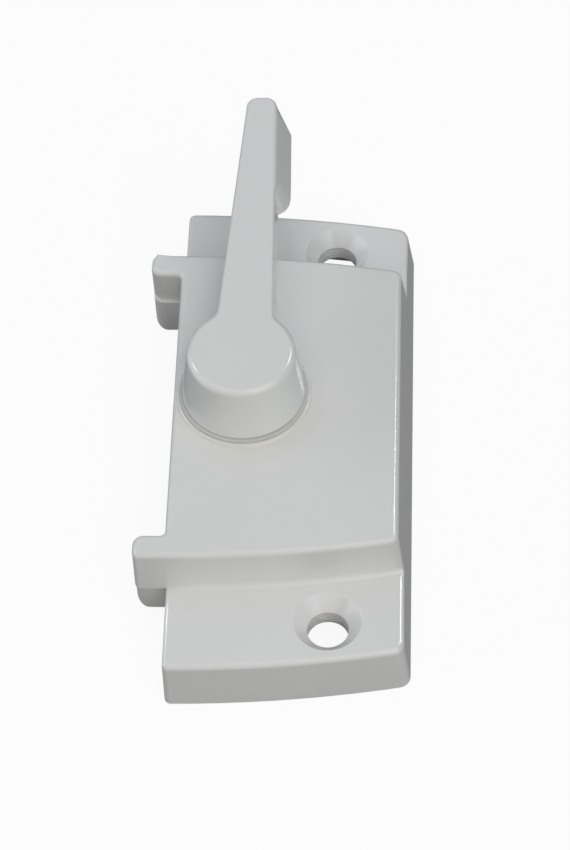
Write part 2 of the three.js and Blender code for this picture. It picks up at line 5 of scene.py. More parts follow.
import bmesh
import bpy
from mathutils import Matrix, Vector


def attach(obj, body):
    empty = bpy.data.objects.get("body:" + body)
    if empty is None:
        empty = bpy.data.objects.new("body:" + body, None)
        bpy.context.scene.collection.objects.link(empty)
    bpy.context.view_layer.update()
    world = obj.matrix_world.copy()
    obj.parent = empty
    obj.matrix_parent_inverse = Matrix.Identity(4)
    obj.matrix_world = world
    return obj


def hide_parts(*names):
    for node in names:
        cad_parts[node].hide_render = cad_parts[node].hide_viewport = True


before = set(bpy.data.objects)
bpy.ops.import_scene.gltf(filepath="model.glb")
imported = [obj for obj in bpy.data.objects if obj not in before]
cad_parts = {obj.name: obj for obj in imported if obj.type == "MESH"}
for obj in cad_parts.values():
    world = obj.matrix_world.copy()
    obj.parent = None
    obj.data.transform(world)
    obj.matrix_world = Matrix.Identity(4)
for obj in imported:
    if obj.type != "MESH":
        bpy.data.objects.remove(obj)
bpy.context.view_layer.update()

# Sizes of the case, in millimetres, measured from the lug face, the middle of the ears and the mounting face
CASE_LENGTH = 72.3
CASE_WIDTH = 29.4
EAR_HEIGHT = 6.6
PLATFORM_HEIGHT = 12.5
PLATFORM_LENGTH = 46.8
WALL = 2.0
ROOF = 2.2
CASE_SLOPE = math.tan(math.radians(7))
STEP_SLOPE = math.tan(math.radians(4))
END_RADIUS = 158
EAR_CORNER = 1.5
PLATFORM_CORNER = 1.2
NEAR_CORNER = 0.8
CORNER_SKEW = math.tan(math.radians(40))
CASE_EDGE = 0.66
INNER_ROUND = 0.8
ROOM_CORNER = 1.0
ROOM_CORNER_REACH = 10.5

# Sizes of the screw holes
SCREW_SPACING = 57.15
SCREW_OFFSET = 19.5
SCREW_HOLE = 5.0
COUNTERSINK = 8.4
COUNTERSINK_SLOPE = math.tan(math.radians(41))
SEAT_SOFT = 0.1
SEAT_MOUTH = COUNTERSINK / 2 - SEAT_SOFT
SINK_RISE = 0.7 * ROOF
SINK_DROP = 1.6
BORE_RINGS = (3.1, 3.5, 3.9, 4.3)
BORE_RING_DEPTH = 0.07
SCREW_BOSS = 11.0
SCREW_BOSS_DEPTH = 3.9

# Sizes of the lugs
LUG_REACH = 3.85
LUG_LENGTH = 3.3
LUG_ROUND = 1.3
LUG_ROOT = 0.7
LUG_LEDGE = 6.3
LUG_SHIFT = 0.6
LUG_FOOT = 1.1
LUG_FOOT_ROUND = 1.5
LUG_FILLET = 0.5
LUG_SOFT = 0.5

# Sizes round the pivot
PIVOT = Vector((8.7, 1.0, 0))
COLLAR = 17.2
COLLAR_TOP = 12.9
COLLAR_FOOT = 0.24
COLLAR_ROUND = 0.26
BEARING_BOTTOM = 8.9
BEARING_BORE = 5.25
BEARING_BOSS = 6.95
STOP_INSIDE = 6.2
STOP_OUTSIDE = 9.4
STOP_FROM = 10.5
STOP_TO = 24
CAM_BOTTOM = 2.86
NOTCH_TOP = 5.96
NOTCH_HALF = 16.72
NOTCH_CORNER = 0.6
SPRING_LENGTH = 21
SPRING_X = 13.45
SPRING_BOW = 0.7
SPRING_THICKNESS = 0.5
SPRING_POST = 2.6
SPRING_POST_CORNER = 0.4
SPRING_BOTTOM = 5.31
SPRING_SLOT_TOP = 8.04
SPRING_ROOM = 0.25

# Sizes of the lever, measured from the pivot
LEVER_LENGTH = 41.7
LEVER_TOP = 21.1
HUB_EDGE = 0.75
HUB_TOP = 13.2
HUB_BOTTOM = 13.36
HUB_FOOT_ROUND = 0.15
HUB_SLOPE = math.tan(math.radians(7.5))
HANDLE_EDGE = 0.42
HANDLE_THICKNESS = 4.9
HANDLE_SLOPE = math.tan(math.radians(3))
HANDLE_ROOT = 8
HANDLE_FAR = (3.66, 2.97)
HANDLE_NEAR = (3.0, 0.68)
HANDLE_FLARE = 2.2
TIP_ROUND = 1.4
PAD_START = 25.85
PAD_END = 39.05
PAD_FLARE = 1.7
PAD_ROUND = 2.6
PAD_FADE = 2.5
SPINDLE = 3.95
SPINDLE_SQUARE = 2.75
SPINDLE_CORNER = 0.3
SCREW_BORE = 1.8
SCREW_BORE_TOP = 9.25

# Where the paint is tinted: from the hub's axis, along the case, and above the mounting face
TINT_FULL = 8.2
TINT_GONE = 11.5
TINT_BACK = 2.0
TINT_FRONT = -6.0
TINT_LOW = 12.2
TINT_HIGH = 13.2

# The case's own corner in the shared frame, in millimetres, and a millimetre in metres
CASE_PLACE = Vector((-12.775, -3.3903, 0))
MM = 0.001

# Margins: how far a cutting tool reaches past the case, how far forms overlap, the step that keeps two faces
# from coinciding, and what counts as touching
CUT = 5
OVERLAP = 1
SEAM = 0.02
TOUCH = 0.001

# Angles between faces that lie flat, shade smooth or get a broken edge, and the rise of an upright edge
FLAT_ANGLE = math.radians(0.2)
SMOOTH_ANGLE = math.radians(35)
BROKEN_ANGLE = math.radians(40)
UPRIGHT_SHARE = 0.9

# Facets of round pieces and steps of curves
ROUND_FACETS = 96
FINE_FACETS = 128
BORE_FACETS = 48
END_FACETS = 300
ROOM_FACETS = 240
HUB_STEPS = 64
ARC_STEPS = 8
EDGE_STEPS = 8
LUG_STEPS = 7
LUG_SOFT_STEPS = 4
COLLAR_STEPS = 6
STOP_STEPS = 3
SPRING_STEPS = 12


# Modelling

def deselect():
    """Leave edit mode with nothing selected."""
    if bpy.context.object and bpy.context.object.mode != "OBJECT":
        bpy.ops.object.mode_set(mode="OBJECT")
    bpy.ops.object.select_all(action="DESELECT")


def take(piece):
    """Make one piece the selected, active one."""
    deselect()
    piece.select_set(True)
    bpy.context.view_layer.objects.active = piece


def pick(piece, kind, test):
    """Open a piece in edit mode with the vertices or edges that pass a test selected."""
    take(piece)
    bpy.ops.object.mode_set(mode="EDIT")
    bpy.ops.mesh.select_mode(type=kind)
    bpy.ops.mesh.select_all(action="DESELECT")
    form = bmesh.from_edit_mesh(piece.data)
    for element in {"VERT": form.verts, "EDGE": form.edges}[kind]:
        if test(element):
            element.select_set(True)
    bmesh.update_edit_mesh(piece.data)


def block(low, high):
    """An upright block between two corners."""
    deselect()
    bpy.ops.mesh.primitive_cube_add(size=1, location=[(a + b) / 2 for a, b in zip(low, high)])
    piece = bpy.context.object
    piece.scale = [b - a for a, b in zip(low, high)]
    bpy.ops.object.transform_apply(location=True, rotation=True, scale=True)
    return piece


def round_bar(radius, low, high, place, top_radius=None, facets=ROUND_FACETS):
    """An upright round bar or cone frustum."""
    deselect()
    bpy.ops.mesh.primitive_cone_add(
        vertices=facets,
        radius1=radius,
        radius2=radius if top_radius is None else top_radius,
        depth=high - low,
        location=(place[0], place[1], (low + high) / 2),
    )
    piece = bpy.context.object
    bpy.ops.object.transform_apply(location=True, rotation=True, scale=True)
    return piece


def shift(piece, test, way):
    """Move the vertices that pass a test."""
    pick(piece, "VERT", test)
    bpy.ops.transform.translate(value=way)
    deselect()


def combine(piece, tool, operation):
    """Join, cut or trim a piece with another, which is used up."""
    take(piece)
    step = piece.modifiers.new("combine", "BOOLEAN")
    step.operation = operation
    step.solver = "EXACT"
    step.object = tool
    bpy.ops.object.modifier_apply(modifier=step.name)
    bpy.data.objects.remove(tool)


def merge_flats(piece):
    """Close doubled vertices and join faces that lie in one plane."""
    pick(piece, "VERT", lambda v: True)
    bpy.ops.mesh.remove_doubles(threshold=TOUCH)
    bpy.ops.mesh.dissolve_limited(angle_limit=FLAT_ANGLE)
    deselect()


def middle(edge):
    return (edge.verts[0].co + edge.verts[1].co) / 2


def upright(edge):
    a, b = (v.co for v in edge.verts)
    return abs(a.z - b.z) > UPRIGHT_SHARE * (a - b).length


def level(edge, z):
    return all(abs(v.co.z - z) < TOUCH for v in edge.verts)


def round_edges(piece, test, radius, steps):
    """Round the edges that pass a test."""
    pick(piece, "EDGE", test)
    bpy.ops.mesh.bevel(offset=radius, segments=steps, affect="EDGES", clamp_overlap=False)
    deselect()


def loft(rings):
    """A skin drawn from a flat ring of points through the next ones, closed at both ends."""
    deselect()
    bpy.ops.mesh.primitive_circle_add(vertices=len(rings[0]), radius=1, fill_type="NGON")
    piece = bpy.context.object
    bpy.ops.object.mode_set(mode="EDIT")
    bpy.ops.mesh.select_all(action="SELECT")
    order = None
    for ring in rings:
        if order is not None:
            bpy.ops.mesh.extrude_region_move(TRANSFORM_OT_translate={"value": (0, 0, 0)})
        form = bmesh.from_edit_mesh(piece.data)
        corners = next(face for face in form.faces if face.select).verts
        if order is None:
            corners = sorted(corners, key=lambda v: math.atan2(v.co.y, v.co.x) % (2 * math.pi))
        else:
            corners = sorted(corners, key=lambda v: order[v.co.to_tuple(4)])
        for vertex, point in zip(corners, ring):
            vertex.co = point
        order = {vertex.co.to_tuple(4): i for i, vertex in enumerate(corners)}
        bmesh.update_edit_mesh(piece.data)
    bpy.ops.mesh.select_all(action="SELECT")
    bpy.ops.mesh.normals_make_consistent(inside=False)
    deselect()
    return piece


def quarter_turn(steps):
    """Angles of a quarter turn, both ends included."""
    return [math.pi / 2 * i / steps for i in range(steps + 1)]


def arc(cx, cy, radius, start, stop, steps):
    """Points of an arc, both ends included."""
    turns = [start + (stop - start) * i / steps for i in range(steps + 1)]
    return [Vector((cx + radius * math.cos(a), cy + radius * math.sin(a), 0)) for a in turns]


def at_level(points, z):
    return [(p.x, p.y, z) for p in points]


def turned(profile, place, facets):
    """A solid of revolution about an upright axis, from radii and levels."""
    turns = [2 * math.pi * i / facets for i in range(facets)]
    around = [(math.cos(a), math.sin(a)) for a in turns]
    return loft([[(place[0] + r * x, place[1] + r * y, z) for x, y in around] for r, z in profile])


# Case

def platform_half(z):
    """Half of the platform's length at a level."""
    return PLATFORM_LENGTH / 2 + STEP_SLOPE * (PLATFORM_HEIGHT - z)


def bowed_end(half, slope, side, facets=END_FACETS):
    """A wide cone whose skin is a bowed, drafted end of the case."""
    low, high = -CUT, LEVER_TOP
    return round_bar(
        END_RADIUS - slope * low, low, high, (0, side * (half - END_RADIUS)),
        END_RADIUS - slope * high, facets,
    )


def far_wall(piece, top):
    """Lean the far face of a block inwards to the casting's draft."""
    far = max(v.co.x for v in piece.data.vertices)
    height = top - min(v.co.z for v in piece.data.vertices)
    shift(piece, lambda v: v.co.x > far - TOUCH and v.co.z > top - TOUCH, (-CASE_SLOPE * height, 0, 0))


def side_block(side, near, low, far, high):
    """A block on one side of the case's middle, given by its distances from it."""
    a, b = sorted((side * near[1], side * far[1]))
    return block((near[0], a, low), (far[0], b, high))


def screw_place(side):
    return (SCREW_OFFSET, side * SCREW_SPACING / 2, 0)


def rough_case():
    """The case's outer form with sharp edges: platform, ears and lug heads.

    The cutting tools reach past the case by different margins, so that no two of their faces coincide.
    """
    case = block((-LUG_REACH, -CASE_LENGTH, 0), (CASE_WIDTH, CASE_LENGTH, PLATFORM_HEIGHT))
    far_wall(case, PLATFORM_HEIGHT)
    lug_rough = LUG_LEDGE - 2 * CASE_EDGE
    high = 3 * LEVER_TOP
    near = block((-3 * CUT, -2 * CASE_LENGTH, -CUT), (0, 2 * CASE_LENGTH, 2 * LEVER_TOP))
    for side in (1, -1):
        combine(case, bowed_end(CASE_LENGTH / 2, CASE_SLOPE, side), "INTERSECT")
        above_ear = (2 * CASE_WIDTH, CASE_LENGTH)
        step = side_block(side, (-2 * CUT, CASE_LENGTH / 6), EAR_HEIGHT, above_ear, LEVER_TOP)
        beside_ear = (0, 0.9 * CASE_LENGTH)
        low_step = side_block(side, (-1.5 * CUT, CASE_LENGTH / 5), -CUT, beside_ear, PLATFORM_HEIGHT)
        combine(step, low_step, "UNION")
        combine(step, bowed_end(platform_half(0), STEP_SLOPE, side), "DIFFERENCE")
        combine(case, step, "DIFFERENCE")
        inner = platform_half(lug_rough) - LUG_LENGTH
        head = side_block(side, (-4 * CUT, inner), lug_rough, (CUT, 1.5 * CASE_LENGTH), high)
        lean = -side * STEP_SLOPE * (high - lug_rough)
        shift(head, lambda v: abs(v.co.y) < inner + OVERLAP and v.co.z > LEVER_TOP, (0, lean, 0))
        combine(near, head, "DIFFERENCE")
    combine(case, near, "DIFFERENCE")
    merge_flats(case)
    return case


def round_case(case):
    """Round the upright corners, then the rims and the foot of each step."""
    half = PLATFORM_LENGTH / 2
    past_step = half + 4
    slack = 0.1

    def corner(x_from, x_to, y_from, y_to):
        def test(edge):
            m = middle(edge)
            return upright(edge) and x_from < m.x < x_to and y_from < abs(m.y) < y_to
        return test

    # Each kind of corner is picked by the widths and the distances from the middle that it stands between
    ear_corners = corner(CASE_WIDTH - 1.5, CASE_WIDTH, past_step, CASE_LENGTH)
    platform_corners = corner(CASE_WIDTH - 2.5, CASE_WIDTH, 0, past_step)
    near_corners = corner(-slack, slack, past_step, CASE_LENGTH)
    lug_tips = corner(-LUG_REACH - slack, slack - LUG_REACH, 0, half + 2)
    lug_roots = corner(-slack, slack, 0, half - 1)
    round_edges(case, ear_corners, EAR_CORNER * CORNER_SKEW, steps=8)
    round_edges(case, platform_corners, PLATFORM_CORNER * CORNER_SKEW, steps=6)
    round_edges(case, near_corners, NEAR_CORNER, steps=5)
    round_edges(case, lug_tips, LUG_ROUND, steps=8)
    round_edges(case, lug_roots, LUG_ROOT, steps=5)
    round_edges(case, lambda edge: level(edge, PLATFORM_HEIGHT), CASE_EDGE, steps=5)
    round_edges(case, lambda edge: level(edge, EAR_HEIGHT), CASE_EDGE, steps=4)


def lug_foot(side):
    """The narrow lower part of a lug, drawn out of the near wall to a round tip."""
    outer = platform_half(LUG_LEDGE) - LUG_SHIFT
    middle_y = side * (outer - LUG_LENGTH / 2)
    length = LUG_REACH - SEAM
    quarter = quarter_turn(LUG_STEPS)
    levels = [(-WALL / 2, LUG_FILLET, LUG_FILLET)]
    for a in quarter:
        swell = LUG_FILLET * (1 - math.sin(a))
        levels.append((LUG_FILLET * (1 - math.cos(a)), swell, swell))
    for a in quarter:
        reach = length - LUG_FOOT_ROUND * (1 - math.sin(a))
        narrow = LUG_ROUND * (1 - math.cos(a))
        levels.append((reach, -narrow, -LUG_FOOT_ROUND * (1 - math.cos(a))))
    rings = []
    for reach, wider, lower in levels:
        half = LUG_LENGTH / 2 + wider
        bottom, top = LUG_FOOT - lower, LUG_LEDGE + CASE_EDGE
        soft = min(LUG_SOFT, half)
        left = arc(-half + soft, bottom + soft, soft, math.pi, 1.5 * math.pi, LUG_SOFT_STEPS)
        right = arc(half - soft, bottom + soft, soft, 1.5 * math.pi, 2 * math.pi, LUG_SOFT_STEPS)
        ring = [(half, top), (-half, top), (-half, bottom + soft)]
        ring += [(p.x, p.y) for p in left[1:] + right]
        rings.append([(-reach, middle_y + y, z) for y, z in ring])
    return loft(rings)


def room(half, slope, roof, wall):
    """A hollow under the case, with rounded inner corners."""
    hollow = block((wall, -CASE_LENGTH, -CUT), (CASE_WIDTH - wall + CASE_SLOPE * CUT, CASE_LENGTH, roof))
    far_wall(hollow, roof)
    for side in (1, -1):
        combine(hollow, bowed_end(half - wall, slope, side, ROOM_FACETS), "INTERSECT")

    def corner(edge):
        return upright(edge) and abs(middle(edge).x - CASE_WIDTH / 2) > ROOM_CORNER_REACH

    round_edges(hollow, corner, ROOM_CORNER, steps=4)
    round_edges(hollow, lambda edge: level(edge, roof), INNER_ROUND, steps=4)
    return hollow


def stop_post():
    """The post under the roof that the cam's hub turns against."""
    start, stop = math.radians(STOP_FROM), math.radians(STOP_TO)
    plan = arc(PIVOT.x, PIVOT.y, STOP_INSIDE, stop, start, STOP_STEPS)
    plan += arc(PIVOT.x, PIVOT.y, STOP_OUTSIDE, start, stop, STOP_STEPS)
    return loft([at_level(plan, CAM_BOTTOM), at_level(plan, PLATFORM_HEIGHT - ROOF / 2)])


def spring_post(side, top):
    """One of the posts that hold the spring's ends."""
    half = SPRING_POST / 2
    x = SPRING_X + SPRING_BOW + SPRING_THICKNESS / 2
    y = PIVOT.y + side * (SPRING_LENGTH / 2 - half)
    post = block((x - half, y - half, SPRING_BOTTOM), (x + half, y + half, top))
    round_edges(post, upright, SPRING_POST_CORNER, steps=3)
    return post


def spring_slot():
    """The bowed slot that both spring posts share."""
    bow = ((SPRING_LENGTH / 2) ** 2 + SPRING_BOW ** 2) / (2 * SPRING_BOW)
    reach = math.asin((SPRING_LENGTH / 2 + SPRING_POST) / bow)
    front, back = bow + SPRING_ROOM, bow - SPRING_THICKNESS - SPRING_ROOM
    plan = arc(SPRING_X + bow, PIVOT.y, front, math.pi - reach, math.pi + reach, SPRING_STEPS)
    plan += arc(SPRING_X + bow, PIVOT.y, back, math.pi + reach, math.pi - reach, SPRING_STEPS)
    return loft([at_level(plan, SPRING_BOTTOM - CUT / 2), at_level(plan, SPRING_SLOT_TOP)])


def cam_notch():
    """The opening in the near wall that lets the cam out."""
    notch = block((-CUT, PIVOT.y - NOTCH_HALF, -CUT), (WALL + OVERLAP, PIVOT.y + NOTCH_HALF, NOTCH_TOP))

    def end(edge):
        return level(edge, NOTCH_TOP) and abs(middle(edge).y - PIVOT.y) > CUT

    round_edges(notch, end, NOTCH_CORNER, steps=4)
    return notch


def screw_bore(place):
    """A drilled hole with the faint rings that the drill leaves in its wall."""
    radius = SCREW_HOLE / 2
    ring = radius + BORE_RING_DEPTH
    profile = [(radius, -CUT)]
    for z in BORE_RINGS:
        profile += [(radius, z - BORE_RING_DEPTH), (ring, z), (radius, z + BORE_RING_DEPTH)]
    return turned(profile + [(radius, LEVER_TOP)], place, ROUND_FACETS)


def countersink(place):
    """The cone that a screw's head sits in, drawn on above the ear."""
    return round_bar(
        SEAT_MOUTH - SINK_RISE * COUNTERSINK_SLOPE * SINK_DROP,
        EAR_HEIGHT - SINK_DROP * SINK_RISE, EAR_HEIGHT + SINK_RISE, place,
        SEAT_MOUTH + SINK_RISE * COUNTERSINK_SLOPE,
    )


def soften_seat(case, place):
    """Round the mouth of a countersink."""
    def mouth(edge):
        a, b = ((v.co - Vector(place)).to_2d().length for v in edge.verts)
        return level(edge, EAR_HEIGHT) and max(abs(a - SEAT_MOUTH), abs(b - SEAT_MOUTH)) < SEAT_SOFT / 2

    round_edges(case, mouth, SEAT_SOFT, steps=3)


def collar():
    """The low ring round the hub: a hollow foot that runs over into a rounded rim."""
    quarter = quarter_turn(COLLAR_STEPS)
    foot = COLLAR_TOP - COLLAR_ROUND - COLLAR_FOOT
    profile = [(COLLAR / 2, PLATFORM_HEIGHT - ROOF / 2)]
    for a in quarter:
        profile.append((COLLAR / 2 - COLLAR_FOOT * math.sin(a), foot + COLLAR_FOOT * (1 - math.cos(a))))
    rim = COLLAR / 2 - COLLAR_FOOT - COLLAR_ROUND
    for a in quarter[1:]:
        profile.append((rim + COLLAR_ROUND * math.cos(a), COLLAR_TOP - COLLAR_ROUND * (1 - math.sin(a))))
    return turned(profile, PIVOT, FINE_FACETS)


def model_case():
    """The whole case casting."""
    case = rough_case()
    round_case(case)
    for side in (1, -1):
        under = side_block(side, (-2 * CUT, CASE_LENGTH / 5), -CUT, (-SEAM, CASE_LENGTH), LUG_LEDGE)
        combine(case, under, "DIFFERENCE")
        combine(case, lug_foot(side), "UNION")
    combine(case, room(CASE_LENGTH / 2, CASE_SLOPE, EAR_HEIGHT - ROOF, WALL), "DIFFERENCE")
    upper = room(platform_half(0), STEP_SLOPE, PLATFORM_HEIGHT - ROOF, WALL + SEAM)
    combine(case, upper, "DIFFERENCE")
    roof_middle = PLATFORM_HEIGHT - ROOF / 2
    combine(case, round_bar(BEARING_BOSS, BEARING_BOTTOM, roof_middle, PIVOT), "UNION")
    combine(case, stop_post(), "UNION")
    for side in (1, -1):
        combine(case, spring_post(side, roof_middle), "UNION")
    combine(case, spring_slot(), "DIFFERENCE")
    combine(case, cam_notch(), "DIFFERENCE")
    for side in (1, -1):
        screw = screw_place(side)
        boss = round_bar(SCREW_BOSS / 2, EAR_HEIGHT - SCREW_BOSS_DEPTH, EAR_HEIGHT - ROOF / 2, screw)
        combine(case, boss, "UNION")
        combine(case, screw_bore(screw), "DIFFERENCE")
        combine(case, countersink(screw), "DIFFERENCE")
    combine(case, collar(), "UNION")
    combine(case, round_bar(BEARING_BORE, -CUT, 2 * LEVER_TOP, PIVOT), "DIFFERENCE")
    merge_flats(case)
    for side in (1, -1):
        soften_seat(case, screw_place(side))
    return case


# Lever

def pad_share(along):
    """How far the finger pad stands out at a distance along the lever."""
    short = min(max(1 - (along - PAD_START) / PAD_ROUND, 0), 1)
    fade = min(max((along - PAD_END) / PAD_FADE, 0), 1)
    return math.sqrt(1 - short ** 2) * (1 - fade * fade * (3 - 2 * fade))


def handle_side(side, roots, hub, offset):
    """One straight side of the handle at a level, with the flare that joins it to the hub."""
    start = Vector((side * roots[0], HANDLE_ROOT, 0))
    along = (Vector((side * roots[1], LEVER_LENGTH, 0)) - start).normalized()
    outward = Vector((side * along.y, -side * along.x, 0))
    sunk = start - outward * TIP_ROUND
    tip = sunk + along * ((LEVER_LENGTH - TIP_ROUND - sunk.y) / along.y)
    raised = start + outward * (offset + HANDLE_FLARE)
    back = raised.dot(along)
    reach = hub + HANDLE_FLARE
    flare = raised + along * (math.sqrt(back ** 2 - raised.length_squared + reach ** 2) - back)
    to_hub = math.atan2(-flare.y, -flare.x)
    to_side = math.atan2(-outward.y, -outward.x)
    turn = (to_side - to_hub + math.pi) % (2 * math.pi) - math.pi
    curve = arc(flare.x, flare.y, HANDLE_FLARE, to_hub, to_hub + turn, ARC_STEPS)
    return {
        "start": start + outward * offset, "along": along, "outward": outward, "tip": tip, "curve": curve,
        "hub_angle": math.atan2(flare.y, flare.x), "angle": math.atan2(outward.y, outward.x),
    }


def lever_plan(z, hub_inset, handle_inset):
    """Outline of the hub and handle at one level, counter-clockwise round the pivot."""
    below = LEVER_TOP - z
    hub = HUB_TOP / 2 + HUB_SLOPE * below - hub_inset
    offset = HANDLE_SLOPE * below - handle_inset
    far = handle_side(1, HANDLE_FAR, hub, offset)
    near = handle_side(-1, HANDLE_NEAR, hub, offset)
    rounds = arc(PAD_START + PAD_ROUND, 0, PAD_ROUND, math.pi, math.pi / 2, ARC_STEPS)
    places = [p.x for p in rounds] + [PAD_END]
    edge = [far["start"] + far["along"] * ((y - far["start"].y) / far["along"].y) for y in places]
    tip = TIP_ROUND + offset
    edge += arc(far["tip"].x, far["tip"].y, tip, far["angle"], math.pi / 2, ARC_STEPS)
    flare = PAD_FLARE * below / HANDLE_THICKNESS
    edge = [p + far["outward"] * (flare * pad_share(p.y)) for p in edge]
    near_angle = near["angle"] % (2 * math.pi)
    near_tip = arc(near["tip"].x, near["tip"].y, tip, math.pi / 2, near_angle, ARC_STEPS)
    hub_round = arc(0, 0, hub, near["hub_angle"], far["hub_angle"] + 2 * math.pi, HUB_STEPS)[1:-1]
    plan = far["curve"] + edge + near_tip + near["curve"][::-1] + hub_round
    return at_level([p + PIVOT for p in plan], z)


def edge_inset(radius, depth):
    """How far a rounded edge stands back at a depth from its face."""
    return radius - math.sqrt(radius ** 2 - max(radius - depth, 0) ** 2)


def model_lever():
    """The lever casting: hub, handle with its finger pad, and the spindle under the hub."""
    shares = [1 - math.sin(a) for a in quarter_turn(EDGE_STEPS)]
    bottom = LEVER_TOP - HANDLE_THICKNESS
    rings = []
    for depth in [HANDLE_EDGE * share for share in shares[::-1]]:
        rings.append(lever_plan(bottom + depth, 0, edge_inset(HANDLE_EDGE, depth)))
    for depth in [HUB_EDGE * share for share in shares]:
        insets = edge_inset(HUB_EDGE, depth), edge_inset(HANDLE_EDGE, depth)
        rings.append(lever_plan(LEVER_TOP - depth, *insets))
    lever = loft(rings)
    hub_radius = HUB_TOP / 2 - SEAM + HUB_SLOPE * (LEVER_TOP - HUB_BOTTOM)
    seam = bottom + HANDLE_EDGE
    seam_radius = hub_radius - HUB_SLOPE * (seam - HUB_BOTTOM)
    hub = round_bar(hub_radius, HUB_BOTTOM, seam, PIVOT, seam_radius, FINE_FACETS)
    round_edges(hub, lambda edge: level(edge, HUB_BOTTOM), HUB_FOOT_ROUND, steps=3)
    combine(lever, hub, "UNION")
    combine(lever, round_bar(SPINDLE, BEARING_BOTTOM, HUB_BOTTOM + OVERLAP, PIVOT), "UNION")
    corner = Vector((SPINDLE_SQUARE, SPINDLE_SQUARE, 0))
    low, high = PIVOT - corner, PIVOT + corner
    square = block((low.x, low.y, CAM_BOTTOM), (high.x, high.y, BEARING_BOTTOM + OVERLAP))
    round_edges(square, upright, SPINDLE_CORNER, steps=3)
    combine(lever, square, "UNION")
    combine(lever, round_bar(SCREW_BORE, -CUT, SCREW_BORE_TOP, PIVOT, facets=BORE_FACETS), "DIFFERENCE")
    merge_flats(lever)
    return lever


# Finishing

def soft_copy(node, radius, steps):
    """A copy of one of the small pieces in millimetres, with its edges broken."""
    deselect()
    piece = bpy.data.objects.new(node + "_finished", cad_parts[node].data.copy())
    bpy.context.scene.collection.objects.link(piece)
    take(piece)
    piece.scale = (1 / MM, 1 / MM, 1 / MM)
    bpy.ops.object.transform_apply(location=False, rotation=False, scale=True)
    merge_flats(piece)
    round_edges(piece, lambda edge: edge.is_manifold and edge.calc_face_angle() > BROKEN_ANGLE, radius, steps)
    return piece


def settle(piece, name, body, node, finish, place=(0, 0, 0)):
    """Bring a finished piece into the shared frame, smooth it, paint it and let it ride on its body."""
    take(piece)
    piece.name = name
    piece.data.name = name
    piece.location = Vector(place) * MM
    piece.scale = (MM, MM, MM)
    bpy.ops.object.transform_apply(location=True, rotation=True, scale=True)
    bpy.ops.object.shade_smooth_by_angle(angle=SMOOTH_ANGLE)
    normals = piece.modifiers.new("normals", "WEIGHTED_NORMAL")
    normals.keep_sharp = True
    normals.weight = 100
    bpy.ops.object.modifier_apply(modifier=normals.name)
    piece.data.materials.clear()
    piece.data.materials.append(finish)
    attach(piece, body)
    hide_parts(node)


# Materials

class Wire:
    """A shader socket that takes part in arithmetic."""

    def __init__(self, finish, socket):
        self.finish = finish
        self.socket = socket

    def math(self, operation, other):
        return self.finish.node("Math", {"operation": operation}, i0=self, i1=other)

    def __add__(self, other):
        return self.math("ADD", other)

    __radd__ = __add__

    def __mul__(self, other):
        return self.math("MULTIPLY", other)

    __rmul__ = __mul__

    def __gt__(self, other):
        return self.math("GREATER_THAN", other)

    def __lt__(self, other):
        return self.math("LESS_THAN", other)


class Finish:
    """A material under construction."""

    def __init__(self, name):
        self.material = bpy.data.materials.new(name)
        self.material.use_nodes = True
        self.tree = self.material.node_tree
        self.tree.nodes.clear()

    def node(self, kind, settings=None, out=0, **sockets):
        """Add a node, set it, feed its sockets, by name or as i and a number, and give one of its outputs."""
        node = self.tree.nodes.new("ShaderNode" + kind)
        for key, value in (settings or {}).items():
            setattr(node, key, value)
        for key, value in sockets.items():
            indexed = key[0] == "i" and key[1:].isdigit()
            socket = node.inputs[int(key[1:]) if indexed else key.replace("_", " ")]
            if isinstance(value, Wire):
                self.tree.links.new(value.socket, socket)
            else:
                socket.default_value = value
        return None if out is None else Wire(self, node.outputs[out])

    def output(self, surface):
        self.node("OutputMaterial", out=None, Surface=surface)
        return self.material

    def place(self):
        """Object coordinates in millimetres."""
        where = self.node("TexCoord", out="Object")
        return self.node("VectorMath", {"operation": "SCALE"}, Vector=where, Scale=1 / MM)

    def noise(self, where, scale, detail=2.0, rough=0.5):
        return self.node("TexNoise", out=0, Vector=where, Scale=scale, Detail=detail, Roughness=rough)

    def blend(self, share, low, high):
        """A colour between two."""
        return self.node("Mix", {"data_type": "RGBA"}, out=2, i0=share, i6=low, i7=high)


def rgb(r, g, b):
    return (r, g, b, 1.0)


def paint(name):
    """White gloss paint: slow drifts of tone, a faint orange peel and a beige tint with specks on the collar
    in front of the hub.
    """
    f = Finish(name)
    where = f.place()
    drift = f.noise(where, scale=0.09)
    peel = f.noise(where, scale=1.7)
    clean = f.blend(drift, rgb(0.78, 0.785, 0.775), rgb(0.83, 0.83, 0.825))
    hub = f.node("VectorMath", {"operation": "SUBTRACT"}, i0=where, i1=PIVOT + CASE_PLACE)
    x, y, z = (f.node("SeparateXYZ", out=axis, Vector=hub) for axis in range(3))
    across = f.node("CombineXYZ", X=x, Y=y)
    spread = f.node("VectorMath", {"operation": "LENGTH"}, out="Value", i0=across)
    fade = {"interpolation_type": "SMOOTHSTEP"}
    near = f.node(
        "MapRange", fade, Value=spread, From_Min=TINT_FULL, From_Max=TINT_GONE, To_Min=1.0, To_Max=0.0)
    front = f.node("MapRange", fade, Value=y, From_Min=TINT_BACK, From_Max=TINT_FRONT)
    specks = f.noise(where, scale=1.1, detail=4.0, rough=0.7)
    # A beige tint with specks, with a little more roughness, on the collar in front of the hub
    beige_tint = near * front * (0.35 + 0.65 * specks) * (z > TINT_LOW) * (TINT_HIGH > z)
    tone = f.blend(0.6 * beige_tint, clean, rgb(0.795, 0.77, 0.70))
    rough = 0.09 + 0.06 * f.noise(where, scale=0.35, detail=3.0) + 0.06 * beige_tint
    bump = f.node("Bump", Strength=0.12, Distance=0.02 * MM, Height=peel)
    return f.output(f.node("BsdfPrincipled", Base_Color=tone, Roughness=rough, Normal=bump))


